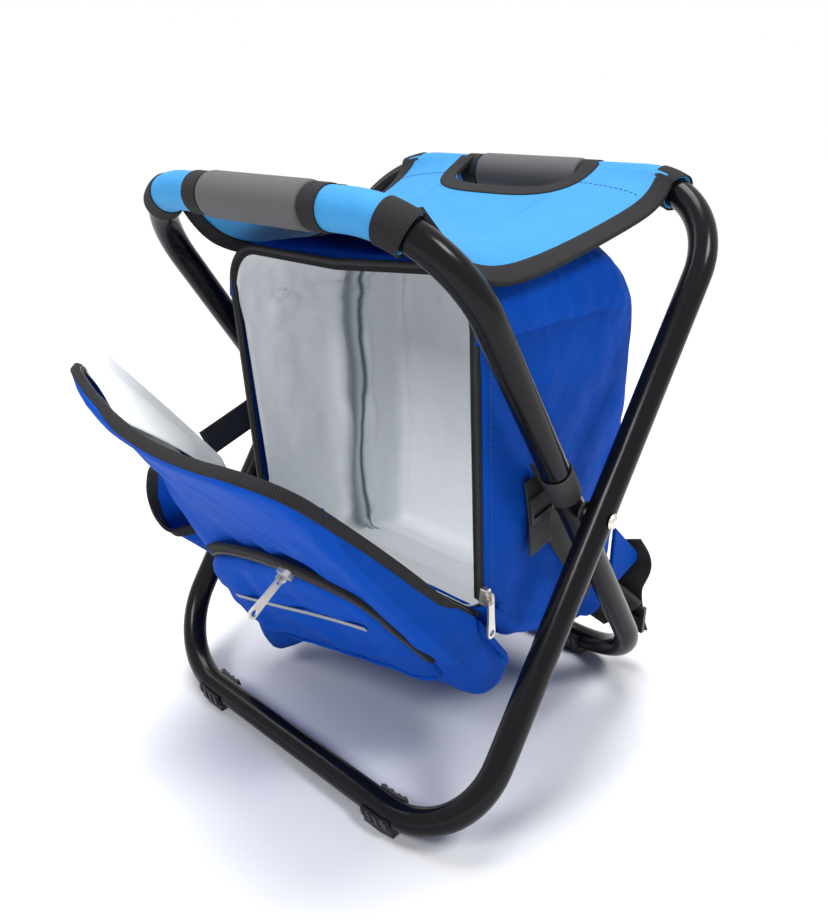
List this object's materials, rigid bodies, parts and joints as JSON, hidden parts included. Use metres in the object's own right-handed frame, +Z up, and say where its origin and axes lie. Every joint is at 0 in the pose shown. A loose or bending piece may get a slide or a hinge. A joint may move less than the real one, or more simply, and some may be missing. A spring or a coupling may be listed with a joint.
{
  "type": "folding_cooler_stool",
  "caption": "Folding stool with a blue sling seat on black tube legs, and an insulated blue cooler bag with a zipped front lid hung between them.",
  "frame": {"origin": "On the floor, midway between the front and rear foot bars and below the leg pivots.", "axes": "X is the width and points to the right seen from the front, Y points from the front to the back, Z points up. The lid opens towards -Y."},
  "size_m": [0.3454, 0.3877, 0.4135],
  "materials": {
    "frame_paint": "gloss black paint on steel tube",
    "bright_steel": "bright plated steel",
    "black_plastic": "moulded, slightly soft",
    "grip_foam": "closed-cell foam, matt",
    "blue_cloth": "coated polyester weave over thin foam",
    "black_tape": "ribbed binding, webbing and zip tape",
    "silver_lining": "soft silver-grey film",
    "reflective": "grey reflective strip"
  },
  "bodies": {
    "outer_frame": {"outer_frame_tube": "frame_paint", "rear_bar_joiner": "bright_steel", "pivot_rivet_left": "bright_steel", "pivot_rivet_right": "bright_steel", "pivot_washer_left": "black_plastic", "pivot_washer_right": "black_plastic", "front_foot_left": "black_plastic", "front_foot_right": "black_plastic", "rear_grip": "grip_foam", "rear_sleeve_left": "blue_cloth", "rear_sleeve_right": "blue_cloth", "seat_panel": "blue_cloth"},
    "inner_frame": {"inner_frame_tube": "frame_paint", "front_bar_joiner": "bright_steel", "rear_foot_left": "black_plastic", "rear_foot_right": "black_plastic", "front_grip": "grip_foam", "front_sleeve_left": "blue_cloth", "front_sleeve_right": "blue_cloth", "side_tie_loop_left": "black_tape", "side_tie_loop_right": "black_tape", "tie_buckle_left": "black_plastic", "tie_buckle_right": "black_plastic"},
    "bag": {"bag_top_panel": "blue_cloth", "bag_left_panel": "blue_cloth", "bag_right_panel": "blue_cloth", "bag_back_panel": "blue_cloth", "bag_bottom_panel": "blue_cloth", "bag_lining": "silver_lining", "hinge_seam": "black_tape", "bag_zip_tape": "black_tape", "side_tie_left": "black_tape", "side_tie_right": "black_tape", "shoulder_strap_left": "black_tape", "shoulder_strap_right": "black_tape", "strap_adjuster_left": "black_plastic", "strap_adjuster_right": "black_plastic", "strap_webbing_left": "black_tape", "strap_webbing_right": "black_tape", "strap_tab_left": "blue_cloth", "strap_tab_right": "blue_cloth"},
    "lid": {"lid_front_panel": "blue_cloth", "lid_gusset": "blue_cloth", "lid_lining": "silver_lining", "lid_hem": "blue_cloth", "lid_zip_tape": "black_tape", "front_pocket": "blue_cloth", "pocket_zip_tape": "black_tape", "reflective_strip": "reflective", "side_pouch": "blue_cloth", "side_pouch_binding": "black_tape"},
    "main_slider": {"main_zip_slider": "bright_steel"},
    "main_pull": {"main_zip_pull": "bright_steel"},
    "pocket_slider": {"pocket_zip_slider": "bright_steel"},
    "pocket_pull": {"pocket_zip_pull": "bright_steel"}
  },
  "joints": [
    {"name": "fold", "type": "hinge", "parent": "outer_frame", "child": "inner_frame", "pos_m": [0, 0, 0.207], "axis": [-1, 0, 0], "range_deg": [0, 58], "deforming": ["seat_panel"]},
    {"name": "bag_swing", "type": "hinge", "parent": "inner_frame", "child": "bag", "pos_m": [0, 0, 0.207], "axis": [-1, 0, 0], "range_deg": [-29, 0]},
    {"name": "lid_hinge", "type": "hinge", "parent": "bag", "child": "lid", "pos_m": [0, -0.061, 0.141], "axis": [-1, 0, 0], "range_deg": [0, 38]},
    {"name": "main_slider_slide", "type": "slide", "parent": "bag", "child": "main_slider", "axis": [0, -0.0732, 0.9973], "range_m": [0, 0.11]},
    {"name": "main_pull_hinge", "type": "hinge", "parent": "main_slider", "child": "main_pull", "pos_m": [0.1238, -0.06232, 0.15895], "axis": [0, -0.9973, -0.0732], "range_deg": [0, 170]},
    {"name": "pocket_slider_slide", "type": "slide", "parent": "lid", "child": "pocket_slider", "axis": [1, 0, 0], "range_m": [-0.086, 0.022]},
    {"name": "pocket_pull_hinge", "type": "hinge", "parent": "pocket_slider", "child": "pocket_pull", "pos_m": [0.032, -0.15721, 0.17737], "axis": [0, -0.5457, 0.838], "range_deg": [-75, 75]}
  ],
  "couplings": [
    {"joint": "bag_swing", "follows": "fold", "ratio": -0.5}
  ]
}
